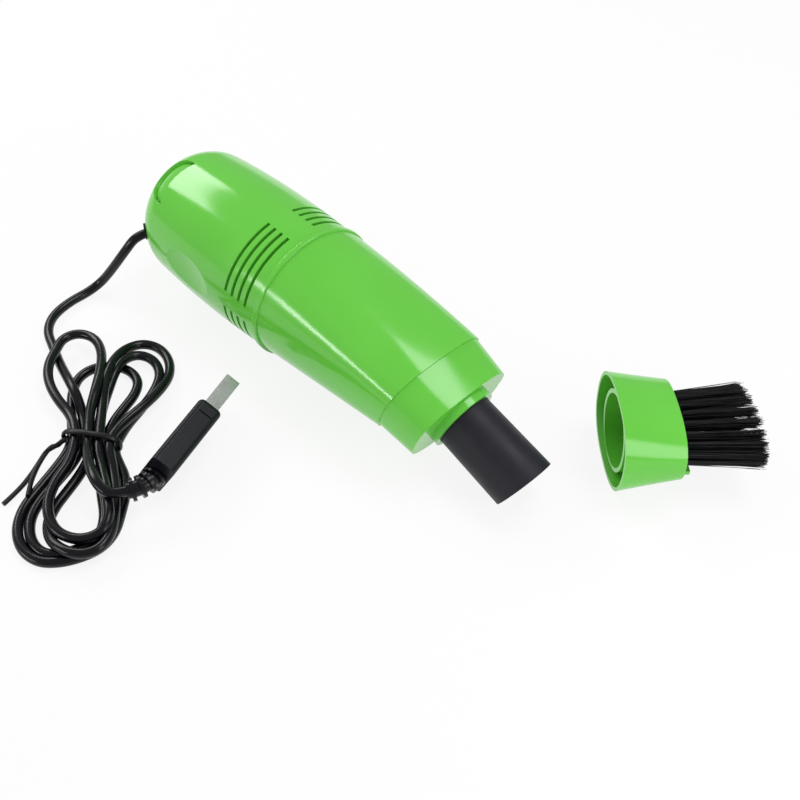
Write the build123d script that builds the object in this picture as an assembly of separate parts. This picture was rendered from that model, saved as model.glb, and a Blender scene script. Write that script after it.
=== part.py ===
from build123d import *
import os
from math import acos, atan, atan2, cos, hypot, pi, radians, sin, sqrt, tan

# Keyboard vacuum cleaner: a small hand vacuum, its brush head taken off and its USB lead tied in a hank.
# The body axis is X with the nose at +X, and the rim between motor housing and dust chamber is centred on it.
# Lengths are in millimetres and angles in degrees.

# Motor housing, a dome turned about the body axis
BODY_RADIUS = 22.5
BELLY_X = -27.5
BARREL_ARC = 350.0
SHOULDER_ARC = 12.8
TAIL_ARC = 55.0
TAIL_LENGTH = 66.0
HOUSING_WALL = 1.8
RIM_TILT = 6.2
RIM_OVERRUN = 6.0
BEAD_HEIGHT = 0.8
BEAD_WIDTH = 1.8
BEAD_ROUND = 0.4
PARTING_HEIGHT = 1.5

# Vent slots in bands round the housing, behind the rim
VENT_FIRST = 5.9
VENT_PITCH = 2.87
VENT_COUNT = 4
VENT_WIDTH = 1.1
VENT_BANDS = ((12.0, 80.0), (95.0, 150.0))

# Thumb dimples on both sides
DIMPLE_X = -34.5
DIMPLE_RISE = 4.3
DIMPLE_DEPTH = 1.1
DIMPLE_ARC = 60.0

# Power button, a D-shaped cap in the tail's shoulder, and the switch under it
BUTTON_X = -57.0
BUTTON_ROLL = 27.0
BUTTON_LEAN = 36.0
BUTTON_RADIUS = 8.2
BUTTON_SHIFT = 3.2
BUTTON_FLAT = 4.0
BUTTON_REACH = 9.6
BUTTON_RECESS = 1.2
BUTTON_THICKNESS = 2.0
BUTTON_FLANGE = 1.2
BUTTON_CLEARANCE = 0.3
BUTTON_TRAVEL = 1.3
SWITCH_SIDE = 7.0
SWITCH_HEIGHT = 7.5
SWITCH_DEPTH = 7.0
SWITCH_RAIL = 1.6
SWITCH_RAIL_REACH = 10.0
SWITCH_RAIL_FOOT = 3.8
PLUNGER_RADIUS = 1.5
PLUNGER_BITE = 2.0
PLUNGER_CLEARANCE = 0.3

# Screws that join the housing halves, driven from below
FRONT_SCREW_SETBACK = 4.1
FRONT_SCREW_INSET = 5.1
TAIL_SCREW_X = -53.0
TAIL_SCREW_INSET = 10.2
SCREW_RADIUS = 1.25
SCREW_HEAD_RADIUS = 2.2
SCREW_HEAD_HEIGHT = 1.8
SCREW_SEAT = 5.0
SCREW_BITE = 6.0
SCREW_CLEARANCE = 0.15
BOSS_RADIUS = 3.3

# Motor, its bracket and the fan
MOTOR_REAR = -46.2
BRACKET_THICKNESS = 1.6
BRACKET_CLEARANCE = 0.1
RIB_HEIGHT = 1.6
RIB_WIDTH = 1.2
MOTOR_RADIUS = 10.0
MOTOR_LENGTH = 22.0
MOTOR_BOSS_RADIUS = 3.0
MOTOR_BOSS_LENGTH = 2.2
MOTOR_CAP_RADIUS = 9.6
MOTOR_CAP_LENGTH = 2.6
TERMINAL_SPREAD = 4.0
TERMINAL_WIDTH = 2.4
TERMINAL_THICKNESS = 0.5
TERMINAL_LENGTH = 2.6
SHAFT_RADIUS = 1.0
SHAFT_CLEARANCE = 0.03
SHAFT_REST = 1.2
MOTOR_SCREW_SPREAD = 6.5
MOTOR_SCREW_RADIUS = 1.0
MOTOR_SCREW_BITE = 3.0
MOTOR_SCREW_HEAD_RADIUS = 1.9
MOTOR_SCREW_HEAD_HEIGHT = 1.1
FAN_RADIUS = 15.5
FAN_DISC = 1.2
FAN_DEPTH = 8.5
FAN_GAP = 1.7
FAN_HUB_RADIUS = 3.4
FAN_BLADES = 9
FAN_BLADE_THICKNESS = 0.9
FAN_BLADE_SWEEP = 32.0

# Dust chamber, a shell that runs from the rim to the nose
FRONT_STEP = 0.6
NOSE_HALF_WIDTH = 18.6
NOSE_HALF_HEIGHT = 13.0
NOSE_POWER = 2.7
FRONT_LENGTH = 49.0
FRONT_DROP = 1.4
FRONT_WALL = 1.7
FRONT_SECTIONS = 4
TONGUE_CLEARANCE = 0.6
TONGUE_WALL = 1.4
TONGUE_DEPTH = 5.0
STEP_LEDGE = 1.6
STEP_LENGTH = 2.0

# Dust filter in the tongue of the dust chamber
PAD_THICKNESS = 1.2
FILTER_FRAME_THICKNESS = 1.8
FILTER_FRAME_RIM = 2.0
FILTER_BARS = 3
FILTER_BAR_WIDTH = 1.4

# Nose collar with its spigot, and the rubber nozzle in it
NOSE_TILT = 19.0
COLLAR_STEP = 0.4
COLLAR_LENGTH = 12.2
COLLAR_HALF_WIDTH = 16.9
COLLAR_HALF_HEIGHT = 11.9
COLLAR_WALL = 1.6
COLLAR_PLUG_DEPTH = 4.0
COLLAR_PLUG_WALL = 1.5
COLLAR_PLUG_CLEARANCE = 0.1
SPIGOT_RADIUS = 10.2
SPIGOT_LENGTH = 2.4
SOCKET_DEPTH = 10.0
SOCKET_LIP = 1.2
SOCKET_LIP_RADIUS = 7.0
NOZZLE_RADIUS = 8.65
NOZZLE_TIP_RADIUS = 9.0
NOZZLE_BORE = 7.2
NOZZLE_LENGTH = 23.8
NOZZLE_SLANT = 10.0
NOZZLE_CLEARANCE = 0.15

# Brush head, taken off and lying beside the nose
BRUSH_X = 91.9
BRUSH_Y = 27.7
BRUSH_YAW = 49.0
CUP_HALF_WIDTH = 17.0
CUP_HALF_HEIGHT = 13.8
CUP_END_HALF_WIDTH = 15.6
CUP_END_HALF_HEIGHT = 9.5
CUP_POWER = 2.4
CUP_LENGTH = 17.1
CUP_WALL = 1.0
CUP_FLOOR = 1.6
RING_FIT = 0.2
RING_WALL = 1.2
RING_SETBACK = 1.0
RING_DEPTH = 7.5
CUP_RIBS = 4
CUP_RIB_TURN = 45.0
CUP_RIB_WIDTH = 1.2
CUP_RIB_SETBACK = 4.0
SHIELD_LENGTH = 4.2
SHIELD_WIDTH = 20.0
SHIELD_THICKNESS = 1.4
SHIELD_DEPTH = 7.6
TUFT_PLATE = 2.0
TUFT_PLATE_HALF_WIDTH = 12.6
TUFT_PLATE_HALF_HEIGHT = 6.6
SLOT_HALF_WIDTH = 5.6
SLOT_HALF_HEIGHT = 1.3
TUFT_RINGS = ((11.2, 5.2, 20), (8.4, 2.9, 12))
TUFT_STRANDS = 12
TUFT_SPREAD = 1.0
STRAND_WIDTH = 0.28
STRAND_ROOT = 0.3
BRISTLE_LENGTH = 22.0
BRISTLE_SLANT = 0.14
BRISTLE_RAGGED = 0.9
BRISTLE_APEX = 150.0

# USB lead: the gland in the housing, the cord, its hank and the tie
CORD_RADIUS = 1.5
BEND_SHARE = 0.45
GLAND_X = -58.5
GLAND_LEAN = 30.0
GLAND_RADIUS = 2.6
GLAND_FLANGE_RADIUS = 3.8
GLAND_DEPTH = 5.0
GLAND_LENGTH = 0.3
LEAD_START = 5.0
LEAD_POINTS = ((-65.2, -29.6, 19.0), (-68.6, -34.4, 13.2), (-70.8, -38.4, 7.0), (-72.2, -43.2, 2.8),
               (-71.4, -49.4, 1.6), (-68.2, -55.2, 1.5), (-62.6, -59.4, 1.5), (-55.6, -61.6, 1.5),
               (-47.0, -62.4, 1.5), (-38.4, -63.2, 1.5), (-31.6, -65.6, 1.9))
WAIST = (-11.5, -75.6)
HANK_TURN = 45.95
STRAND_STEP = 3.7
WAIST_INNER = 2.6
LAYER_STEP = 3.7
TIE_LIFT = 1.2
LOWER_LEAN = -17.0
UPPER_LEAN = 10.0
LOWER_LOOPS = 3
UPPER_LOOPS = 2
LOWER_TOP = 42.0
LOWER_BOTTOM = 41.0
UPPER_TOP = 46.0
UPPER_BOTTOM = 37.0
INNER_LOBE = 6.4
HANK_START = 6.0
HANK_CLIMB = 5.5
TAIL_CLIMB = 3.4
TAIL_END = 12.0
TAIL_FIRST_RUN = 5.0
TAIL_TURNS = ((3.0, -22.4, 9.5),)
TAIL_LAST_RUN = 6.5
TIE_WIDTH = 3.6
TIE_THICKNESS = 0.7
TIE_ROOM = 0.3
TIE_FLOOR = 0.2
TIE_CORNER = 1.8
TIE_WIRE_RADIUS = 0.7
TIE_ENDS = (((0.9, 5.4), (-17.0, 0.6, 5.4), (-20.4, -4.6, 5.2), (-20.6, -11.6, 4.9), (-21.2, -18.4, 4.6)),
            ((-0.9, 5.4), (-15.6, -1.4, 5.4), (-17.2, -5.6, 5.2), (-16.2, -10.6, 4.9), (-15.2, -15.0, 4.6)))

# USB plug, lying on its edge
PLUG_REAR = (14.0, -69.4)
PLUG_YAW = 110.8
PLUG_ROLL = 32.0
PLUG_LIFT = 0.8
PLUG_WIDTH = 15.5
PLUG_THICKNESS = 7.5
PLUG_LENGTH = 24.0
PLUG_EDGE = 1.6
PLUG_FRONT_EDGE = 1.4
PLUG_PANEL_DEPTH = 0.35
PLUG_PANEL_WIDTH = 4.4
PLUG_PANEL_LENGTH = 15.0
PLUG_PANEL_PLACE = 12.5
RELIEF_LENGTH = 9.0
RELIEF_BEND = 52.0
RELIEF_RADIUS = 2.3
RELIEF_RIB_RADIUS = 3.3
RELIEF_RIB_WIDTH = 1.0
RELIEF_RIBS = 4
RELIEF_RIB_PLACE = 0.35
SHELL_WIDTH = 12.0
SHELL_THICKNESS = 4.5
SHELL_LENGTH = 12.0
SHELL_WALL = 0.35
SHELL_BITE = 5.0
SHELL_HOLE = 2.2
SHELL_HOLE_SPREAD = 2.8
SHELL_HOLE_PLACE = 5.6
BOARD_THICKNESS = 1.8
BOARD_SETBACK = 0.6
CONTACT_COUNT = 4
CONTACT_PITCH = 2.5
CONTACT_WIDTH = 1.2
CONTACT_THICKNESS = 0.2
CONTACT_LENGTH = 8.0

# Wires inside the housing
WIRE_RADIUS = 0.6
WIRE_SPREAD = 0.75
WIRE_TAIL = 3.5
WIRE_SWEEP = 7.0
WIRE_DETOUR = 5.25
WIRE_ASIDE = 6.4
SWITCH_LUG = 1.5

# A length greater than the whole part, for half spaces and through cuts
REACH = 240.0

# Points on each oval outline, and the step and the least run of the hank's samples in the log
OVAL_POINTS = 24
SAMPLE_STEP = 1.5
SAMPLE_RUN = 13.5


def turned(plane, points):
    """Solid turned about the z axis of a plane from the (radius, height) points of a closed outline."""
    outline = make_face(Polyline(*points, close=True))
    return plane * revolve(Plane.XZ * outline, Axis.Z)


def tube(plane, outer, inner, start, end):
    """Round tube along a plane's z axis between two heights, or a rod where the inner radius is zero."""
    ring = Circle(outer) - Circle(inner) if inner > 0 else Circle(outer)
    return plane * Pos(0, 0, start) * extrude(ring, end - start)


def slab(plane, start, end):
    """Wide slab across a plane's z axis between two heights."""
    return plane * Pos(0, 0, (start + end) / 2) * Box(REACH, REACH, end - start)


def oval(half_width, half_height, power):
    """Closed outline that is a circle or ellipse at a power of 2 and squarer above it."""
    points = []
    for step in range(OVAL_POINTS):
        angle = 2 * pi * step / OVAL_POINTS
        share = (abs(cos(angle)) / half_width) ** power + (abs(sin(angle)) / half_height) ** power
        reach = share ** (-1 / power)
        points.append((reach * cos(angle), reach * sin(angle)))
    return make_face(Spline(*points, periodic=True))


def oval_loft(plane, power, *rings):
    """Solid through ovals that stand across a plane's z axis, each with its height, half width and half height."""
    return loft([plane * Pos(0, 0, height) * oval(half_width, half_height, power)
                 for height, half_width, half_height in rings])


def on_arc(centre, radius, angle):
    """Point of an arc at an angle in radians."""
    return (centre[0] + radius * cos(angle), centre[1] + radius * sin(angle))


def dome_centres():
    """Centres of the barrel, shoulder and tail arcs, with the shoulder tangent to both of the others."""
    barrel = (BELLY_X, BODY_RADIUS - BARREL_ARC)
    tail = (TAIL_ARC - TAIL_LENGTH, 0.0)
    across = (tail[0] - barrel[0], tail[1] - barrel[1])
    distance = hypot(*across)
    from_barrel = BARREL_ARC - SHOULDER_ARC
    from_tail = TAIL_ARC - SHOULDER_ARC
    along = (from_barrel ** 2 - from_tail ** 2 + distance ** 2) / (2 * distance)
    aside = sqrt(from_barrel ** 2 - along ** 2)
    shoulder = (barrel[0] + (along * across[0] - aside * across[1]) / distance,
                barrel[1] + (along * across[1] + aside * across[0]) / distance)
    return barrel, shoulder, tail


def dome_arcs(inset):
    """Start angle, end angle, centre and radius of the tail, shoulder and barrel arcs, set in by a wall."""
    barrel, shoulder, tail = dome_centres()
    tail_to_shoulder = atan2(shoulder[1] - tail[1], shoulder[0] - tail[0])
    shoulder_to_barrel = atan2(shoulder[1] - barrel[1], shoulder[0] - barrel[0])
    barrel_radius = BARREL_ARC - inset
    mouth = acos((RIM_OVERRUN - BELLY_X) / barrel_radius)
    return ((pi, tail_to_shoulder, tail, TAIL_ARC - inset),
            (tail_to_shoulder, shoulder_to_barrel, shoulder, SHOULDER_ARC - inset),
            (shoulder_to_barrel, mouth, barrel, barrel_radius))


def dome(inset):
    """Solid of the housing's outer form, set in by a wall and ending past the rim."""
    edges = []
    for start, end, centre, radius in dome_arcs(inset):
        points = [on_arc(centre, radius, start + (end - start) * share) for share in (0.0, 0.5, 1.0)]
        edges.append(ThreePointArc(*points))
    pole = edges[0] @ 0
    mouth = edges[2] @ 1
    edges.append(Polyline((mouth.X, mouth.Y), (mouth.X, 0), (pole.X, 0)))
    return revolve(Plane.XZ * make_face(edges), Axis.X)


def dome_radius(station):
    """Outer radius of the housing at a station of the body axis."""
    for start, end, centre, radius in dome_arcs(0.0):
        if on_arc(centre, radius, end)[0] >= station:
            return centre[1] + sqrt(radius ** 2 - (station - centre[0]) ** 2)
    return BODY_RADIUS


def arc_or_line(start, corner, end):
    """Edge from start to end that is tangent to the lines to the corner point."""
    middle = (start + end) / 2
    rise = (corner - middle).length
    half = (end - start).length / 2
    if rise < 0.001 * half:
        return Line(start, end)
    sagitta = half * tan(atan(rise / half) / 2)
    return ThreePointArc(start, middle + (corner - middle) * (sagitta / rise), end)


def rounded_route(points, radius):
    """Round rod along straight runs that are joined by tangent arcs, with its least bend radius and length."""
    points = [Vector(*point) for point in points]
    edges = []
    bends = []
    run_start = points[0]
    for before, corner, after in zip(points, points[1:], points[2:]):
        arriving = corner - before
        leaving = after - corner
        cut = BEND_SHARE * min(arriving.length, leaving.length)
        bend_start = corner - arriving.normalized() * cut
        bend_end = corner + leaving.normalized() * cut
        bends.append(cut / tan(radians(arriving.get_angle(leaving)) / 2))
        edges.append(Line(run_start, bend_start))
        edges.append(arc_or_line(bend_start, corner, bend_end))
        run_start = bend_end
    edges.append(Line(run_start, points[-1]))
    path = Wire(edges)
    rod = sweep(Plane(points[0], z_dir=points[1] - points[0]) * Circle(radius), path=path)
    return rod, min(bends), path.length


# Reference planes: the body axis, the rim, the nose, the button, the gland and the brush
BODY = Plane((0, 0, 0), x_dir=(0, 1, 0), z_dir=(1, 0, 0))
RIM = Plane((0, 0, 0), x_dir=(0, 1, 0), z_dir=(cos(radians(RIM_TILT)), 0, -sin(radians(RIM_TILT))))
NOSE = Plane((FRONT_LENGTH, 0, -FRONT_DROP), x_dir=(0, 1, 0),
             z_dir=(cos(radians(NOSE_TILT)), 0, -sin(radians(NOSE_TILT))))
button_out = Vector(0, -sin(radians(BUTTON_ROLL)), cos(radians(BUTTON_ROLL)))
button_place = Vector(BUTTON_X, 0, 0) + button_out * dome_radius(BUTTON_X)
button_axis = button_out * cos(radians(BUTTON_LEAN)) - Vector(1, 0, 0) * sin(radians(BUTTON_LEAN))
BUTTON = Plane(button_place, x_dir=(0, cos(radians(BUTTON_ROLL)), sin(radians(BUTTON_ROLL))), z_dir=button_axis)
gland_axis = Vector(-sin(radians(GLAND_LEAN)), -cos(radians(GLAND_LEAN)), 0)
gland_side = sqrt(dome_radius(GLAND_X) ** 2 - PARTING_HEIGHT ** 2)
GLAND = Plane((GLAND_X, -gland_side, PARTING_HEIGHT), x_dir=(0, 0, 1), z_dir=gland_axis)
brush_axis = Vector(cos(radians(BRUSH_YAW)), sin(radians(BRUSH_YAW)), 0)
BRUSH = Plane((BRUSH_X, BRUSH_Y, CUP_HALF_HEIGHT), x_dir=(-brush_axis.Y, brush_axis.X, 0), z_dir=brush_axis)

outer_dome = dome(0.0)
inner_dome = dome(HOUSING_WALL)
wall_core = dome(HOUSING_WALL / 2)


def button_prism(margin):
    """D-shaped prism along the button's axis, its flat side towards the nose."""
    side = 2 * (BUTTON_RADIUS + margin)
    disc = Pos(0, -BUTTON_SHIFT) * Circle(BUTTON_RADIUS + margin)
    shape = disc & (Pos(0, side / 2 - BUTTON_FLAT - margin) * Rectangle(side, side))
    return BUTTON * Pos(0, 0, -BUTTON_REACH) * extrude(shape, 2 * BUTTON_REACH)


def vent_slots():
    """Slots parallel to the rim, in bands on both sides."""
    slots = []
    for row in range(VENT_COUNT):
        height = -VENT_FIRST - row * VENT_PITCH - VENT_WIDTH / 2
        for first, last in VENT_BANDS:
            for side in (-1, 1):
                corners = []
                for radius, angle in ((BODY_RADIUS / 2, first), (2 * BODY_RADIUS, first),
                                      (2 * BODY_RADIUS, last), (BODY_RADIUS / 2, last)):
                    corners.append((side * radius * sin(radians(angle)), radius * cos(radians(angle))))
                sector = make_face(Polyline(*corners, close=True))
                slots.append(RIM * Pos(0, 0, height) * extrude(sector, VENT_WIDTH))
    return slots


# Housing shell with bead, vents, dimples and the ribs that hold the motor bracket
shell = (outer_dome - inner_dome) - slab(RIM, 0, REACH)
bead = dome(-BEAD_HEIGHT) & slab(RIM, -BEAD_WIDTH, 0)
bead = fillet(bead.faces().sort_by(SortBy.AREA)[:-2].edges(), BEAD_ROUND) - inner_dome
shell = shell + bead
shell = shell - vent_slots()
dimple_out = dome_radius(DIMPLE_X) + DIMPLE_ARC - DIMPLE_DEPTH
dimple_across = sqrt(dimple_out ** 2 - DIMPLE_RISE ** 2)
shell = shell - [Pos(DIMPLE_X, side * dimple_across, DIMPLE_RISE) * Sphere(DIMPLE_ARC) for side in (-1, 1)]
motor_back = MOTOR_REAR + MOTOR_CAP_LENGTH
bracket_back = motor_back + MOTOR_LENGTH
bracket_front = bracket_back + BRACKET_THICKNESS
rib_ring = wall_core - dome(HOUSING_WALL + RIB_HEIGHT)
rib_front = bracket_front + BRACKET_CLEARANCE
rib_back = bracket_back - BRACKET_CLEARANCE
shell = shell + (rib_ring & slab(BODY, rib_front, rib_front + RIB_WIDTH))
shell = shell + (rib_ring & slab(BODY, rib_back - RIB_WIDTH, rib_back))

# Bosses for the housing screws, in line through both halves, and the screws
screw_head_bottom = -SCREW_SEAT - SCREW_HEAD_HEIGHT
screws = []
screw_cuts = []
front_screw_x = bracket_back - FRONT_SCREW_SETBACK
front_screw_y = dome_radius(front_screw_x) - HOUSING_WALL - FRONT_SCREW_INSET
tail_screw_y = dome_radius(TAIL_SCREW_X) - HOUSING_WALL - TAIL_SCREW_INSET
screw_places = ((front_screw_x, front_screw_y), (front_screw_x, -front_screw_y), (TAIL_SCREW_X, tail_screw_y))
for boss_x, boss_y in screw_places:
    at = Plane((boss_x, boss_y, 0))
    shell = shell + (tube(at, BOSS_RADIUS, 0, -BODY_RADIUS, BODY_RADIUS) & wall_core)
    screw_cuts.append(tube(at, SCREW_RADIUS + SCREW_CLEARANCE, 0, -SCREW_SEAT, SCREW_BITE + SCREW_CLEARANCE))
    screw_cuts.append(tube(at, SCREW_HEAD_RADIUS + SCREW_CLEARANCE, 0, -2 * BODY_RADIUS, -SCREW_SEAT))
    shank = tube(at, SCREW_RADIUS, 0, -SCREW_SEAT, SCREW_BITE)
    screws.append(shank + tube(at, SCREW_HEAD_RADIUS, 0, screw_head_bottom, -SCREW_SEAT))
shell = shell - screw_cuts

# Rails beside the switch, which stand on the wall in front of the button
switch_top = -SWITCH_DEPTH
switch_middle = switch_top - SWITCH_HEIGHT / 2
switch_bottom = switch_top - SWITCH_HEIGHT
rail_top = switch_top - BUTTON_TRAVEL - 2 * BUTTON_CLEARANCE
rail_depth = SWITCH_RAIL_REACH + SWITCH_SIDE / 2
foot_height = BUTTON_REACH - switch_bottom
for side in (-1, 1):
    rail_x = side * (SWITCH_SIDE + SWITCH_RAIL) / 2
    rail_at = Pos(rail_x, SWITCH_SIDE / 2 - rail_depth / 2, (rail_top + switch_bottom) / 2)
    foot_at = Pos(rail_x, SWITCH_RAIL_FOOT / 2 - SWITCH_RAIL_REACH, BUTTON_REACH - foot_height / 2)
    rail = rail_at * Box(SWITCH_RAIL, rail_depth, rail_top - switch_bottom)
    rail = rail + foot_at * Box(SWITCH_RAIL, SWITCH_RAIL_FOOT, foot_height)
    shell = shell + ((BUTTON * rail) & wall_core)

# Openings for the button and the gland, then the two halves, parted a little above the body axis
shell = shell - button_prism(0.0)
shell = shell - tube(GLAND, GLAND_RADIUS, 0, -BODY_RADIUS / 2, BODY_RADIUS / 2)
parting = Plane((0, 0, PARTING_HEIGHT))
rear_shell_upper = shell & slab(parting, 0, REACH)
rear_shell_lower = shell & slab(parting, -REACH, 0)

# Power button: a cap set a little below the dome, with a flange behind the wall, and its switch
button_back = BUTTON_RECESS + BUTTON_THICKNESS
under_button = dome(button_back)
button_cap = (dome(BUTTON_RECESS) - under_button) & button_prism(-BUTTON_CLEARANCE)
button_flange = (dome(HOUSING_WALL + BUTTON_CLEARANCE) - under_button) & button_prism(BUTTON_FLANGE)
power_button = button_cap + button_flange
plunger_bottom = switch_top - PLUNGER_BITE
switch_plunger = tube(BUTTON, PLUNGER_RADIUS, 0, plunger_bottom, 0) & under_button
plunger_well = tube(BUTTON, PLUNGER_RADIUS + PLUNGER_CLEARANCE, 0,
                    plunger_bottom - BUTTON_TRAVEL - PLUNGER_CLEARANCE, switch_top)
switch_body = BUTTON * Pos(0, 0, switch_middle) * Box(SWITCH_SIDE, SWITCH_SIDE, SWITCH_HEIGHT) - plunger_well

# Motor bracket, motor and the screws that hold it
motor_screw_places = [BODY * Pos(side * MOTOR_SCREW_SPREAD, 0, 0) for side in (-1, 1)]
bracket = dome(HOUSING_WALL + BRACKET_CLEARANCE) & slab(BODY, bracket_back, bracket_front)
bracket = bracket - tube(BODY, MOTOR_BOSS_RADIUS, 0, bracket_back, bracket_front)
motor_can = tube(BODY, MOTOR_RADIUS, 0, motor_back, bracket_back)
motor_can = motor_can + tube(BODY, MOTOR_BOSS_RADIUS, 0, bracket_back, bracket_back + MOTOR_BOSS_LENGTH)
bearing_radius = SHAFT_RADIUS + SHAFT_CLEARANCE
motor_can = motor_can - tube(BODY, bearing_radius, 0, motor_back, 0)
motor_screws = []
for place in motor_screw_places:
    hole = place * Pos(0, 0, bracket_back - MOTOR_SCREW_BITE) * extrude(
        Circle(MOTOR_SCREW_RADIUS), BRACKET_THICKNESS + MOTOR_SCREW_BITE)
    head = place * Pos(0, 0, bracket_front) * extrude(Circle(MOTOR_SCREW_HEAD_RADIUS), MOTOR_SCREW_HEAD_HEIGHT)
    bracket = bracket - hole
    motor_can = motor_can - hole
    motor_screws.append(hole + head)
shaft_back = motor_back - SHAFT_REST
motor_end_cap = tube(BODY, MOTOR_CAP_RADIUS, 0, MOTOR_REAR, motor_back)
motor_end_cap = motor_end_cap - tube(BODY, bearing_radius, 0, shaft_back - SHAFT_CLEARANCE, motor_back)
terminal = Box(TERMINAL_LENGTH, TERMINAL_WIDTH, TERMINAL_THICKNESS)
terminal_middle = MOTOR_REAR - TERMINAL_LENGTH / 2
motor_terminals = [Pos(terminal_middle, side * TERMINAL_SPREAD, 0) * terminal for side in (-1, 1)]

# Fan: a disc with swept blades on a hub, pressed on the shaft
fan_back = bracket_front + FAN_GAP
fan_front = fan_back + FAN_DEPTH
blade_length = FAN_RADIUS
blade_box = Pos(blade_length / 2, 0, FAN_DEPTH / 2) * Box(blade_length, FAN_BLADE_THICKNESS, FAN_DEPTH)
fan = tube(Plane.XY, FAN_RADIUS, 0, 0, FAN_DISC) + tube(Plane.XY, FAN_HUB_RADIUS, 0, 0, FAN_DEPTH)
fan_rim = tube(Plane.XY, FAN_RADIUS, 0, 0, FAN_DEPTH)
for blade in range(FAN_BLADES):
    swept = Pos(FAN_HUB_RADIUS - FAN_BLADE_THICKNESS, 0, 0) * Rot(0, 0, FAN_BLADE_SWEEP) * blade_box
    fan = fan + ((Rot(0, 0, 360 * blade / FAN_BLADES) * swept) & fan_rim)
fan = fan - tube(Plane.XY, SHAFT_RADIUS, 0, 0, FAN_DEPTH)
impeller = BODY * Pos(0, 0, fan_back) * fan
motor_shaft = tube(BODY, SHAFT_RADIUS, 0, shaft_back, fan_front)


# Dust chamber with the tongue that plugs into the housing and the step that stops the filter
front_radius = dome_radius(0.0) + BEAD_HEIGHT - FRONT_STEP
tongue_radius = dome_radius(0.0) - HOUSING_WALL - TONGUE_CLEARANCE
tongue_bore = tongue_radius - TONGUE_WALL
step_radius = tongue_bore - STEP_LEDGE


def chamber(inset):
    """Loft of the dust chamber from the round rim to the flat nose, set in by a wall. Its rings sink and lean."""
    rings = []
    for section in range(FRONT_SECTIONS):
        share = section / (FRONT_SECTIONS - 1)
        lean = radians(RIM_TILT + (NOSE_TILT - RIM_TILT) * share)
        plane = Plane((FRONT_LENGTH * share, 0, -FRONT_DROP * share ** 2), x_dir=(0, 1, 0),
                      z_dir=(cos(lean), 0, -sin(lean)))
        half_width = front_radius + (NOSE_HALF_WIDTH - front_radius) * share - inset
        half_height = front_radius + (NOSE_HALF_HEIGHT - front_radius) * share - inset
        rings.append(plane * oval(half_width, half_height, 2 + (NOSE_POWER - 2) * share))
    return loft(rings)


front_shell = chamber(0.0) - chamber(FRONT_WALL)
front_shell = front_shell + tube(RIM, front_radius - FRONT_WALL / 2, step_radius, 0, STEP_LENGTH)
front_shell = front_shell + tube(RIM, tongue_radius, tongue_bore, -TONGUE_DEPTH, STEP_LENGTH / 2)

# Dust filter: a pad against the step and a frame with bars behind it
filter_back = -PAD_THICKNESS - FILTER_FRAME_THICKNESS
filter_pad = tube(RIM, tongue_bore, 0, -PAD_THICKNESS, 0)
filter_frame = tube(RIM, tongue_bore, tongue_bore - FILTER_FRAME_RIM, filter_back, -PAD_THICKNESS)
bar = Box(2 * tongue_bore - FILTER_FRAME_RIM, FILTER_BAR_WIDTH, FILTER_FRAME_THICKNESS)
bar_at = RIM * Pos(0, 0, (filter_back - PAD_THICKNESS) / 2)
for spoke in range(FILTER_BARS):
    filter_frame = filter_frame + bar_at * Rot(0, 0, 180 * spoke / FILTER_BARS) * bar

# Nose collar: a flat cone that plugs into the dust chamber and carries the spigot with the nozzle's socket
bore_inset = FRONT_WALL + COLLAR_PLUG_WALL
spigot_end = COLLAR_LENGTH + SPIGOT_LENGTH
socket_floor = spigot_end - SOCKET_DEPTH
socket_back = socket_floor - SOCKET_LIP
socket_radius = NOZZLE_RADIUS + NOZZLE_CLEARANCE
web_back = COLLAR_LENGTH - COLLAR_WALL
bore_half_width = NOSE_HALF_WIDTH - bore_inset
bore_half_height = NOSE_HALF_HEIGHT - bore_inset
collar = oval_loft(NOSE, NOSE_POWER, (0, NOSE_HALF_WIDTH - COLLAR_STEP, NOSE_HALF_HEIGHT - COLLAR_STEP),
                   (COLLAR_LENGTH, COLLAR_HALF_WIDTH, COLLAR_HALF_HEIGHT))
collar = collar - oval_loft(NOSE, NOSE_POWER, (0, bore_half_width, bore_half_height),
                            (web_back, COLLAR_HALF_WIDTH - COLLAR_WALL, COLLAR_HALF_HEIGHT - COLLAR_WALL))
plug_ring = chamber(FRONT_WALL + COLLAR_PLUG_CLEARANCE) & slab(NOSE, -COLLAR_PLUG_DEPTH, 0)
plug_bore = oval(bore_half_width, bore_half_height, NOSE_POWER)
collar = collar + (plug_ring - NOSE * Pos(0, 0, -COLLAR_PLUG_DEPTH) * extrude(plug_bore, COLLAR_PLUG_DEPTH))
collar = collar + tube(NOSE, SPIGOT_RADIUS, 0, socket_back, spigot_end)
collar = collar - tube(NOSE, socket_radius, 0, socket_floor, spigot_end)
nose_collar = collar - tube(NOSE, SOCKET_LIP_RADIUS, 0, socket_back, socket_floor)

# Rubber nozzle, cut off on a slant with its longer side on top
nozzle_tip = spigot_end + NOZZLE_LENGTH
nozzle_cut = NOSE * Pos(0, 0, nozzle_tip) * Rot(NOZZLE_SLANT, 0, 0)
nozzle_slack = 2 * NOZZLE_TIP_RADIUS * tan(radians(NOZZLE_SLANT))
nozzle_outline = ((NOZZLE_BORE, socket_floor), (NOZZLE_RADIUS, socket_floor), (NOZZLE_RADIUS, spigot_end),
                  (NOZZLE_TIP_RADIUS, nozzle_tip), (NOZZLE_TIP_RADIUS, nozzle_tip + nozzle_slack),
                  (NOZZLE_BORE, nozzle_tip + nozzle_slack))
rubber_nozzle = turned(NOSE, nozzle_outline) - slab(nozzle_cut, 0, REACH)

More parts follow.
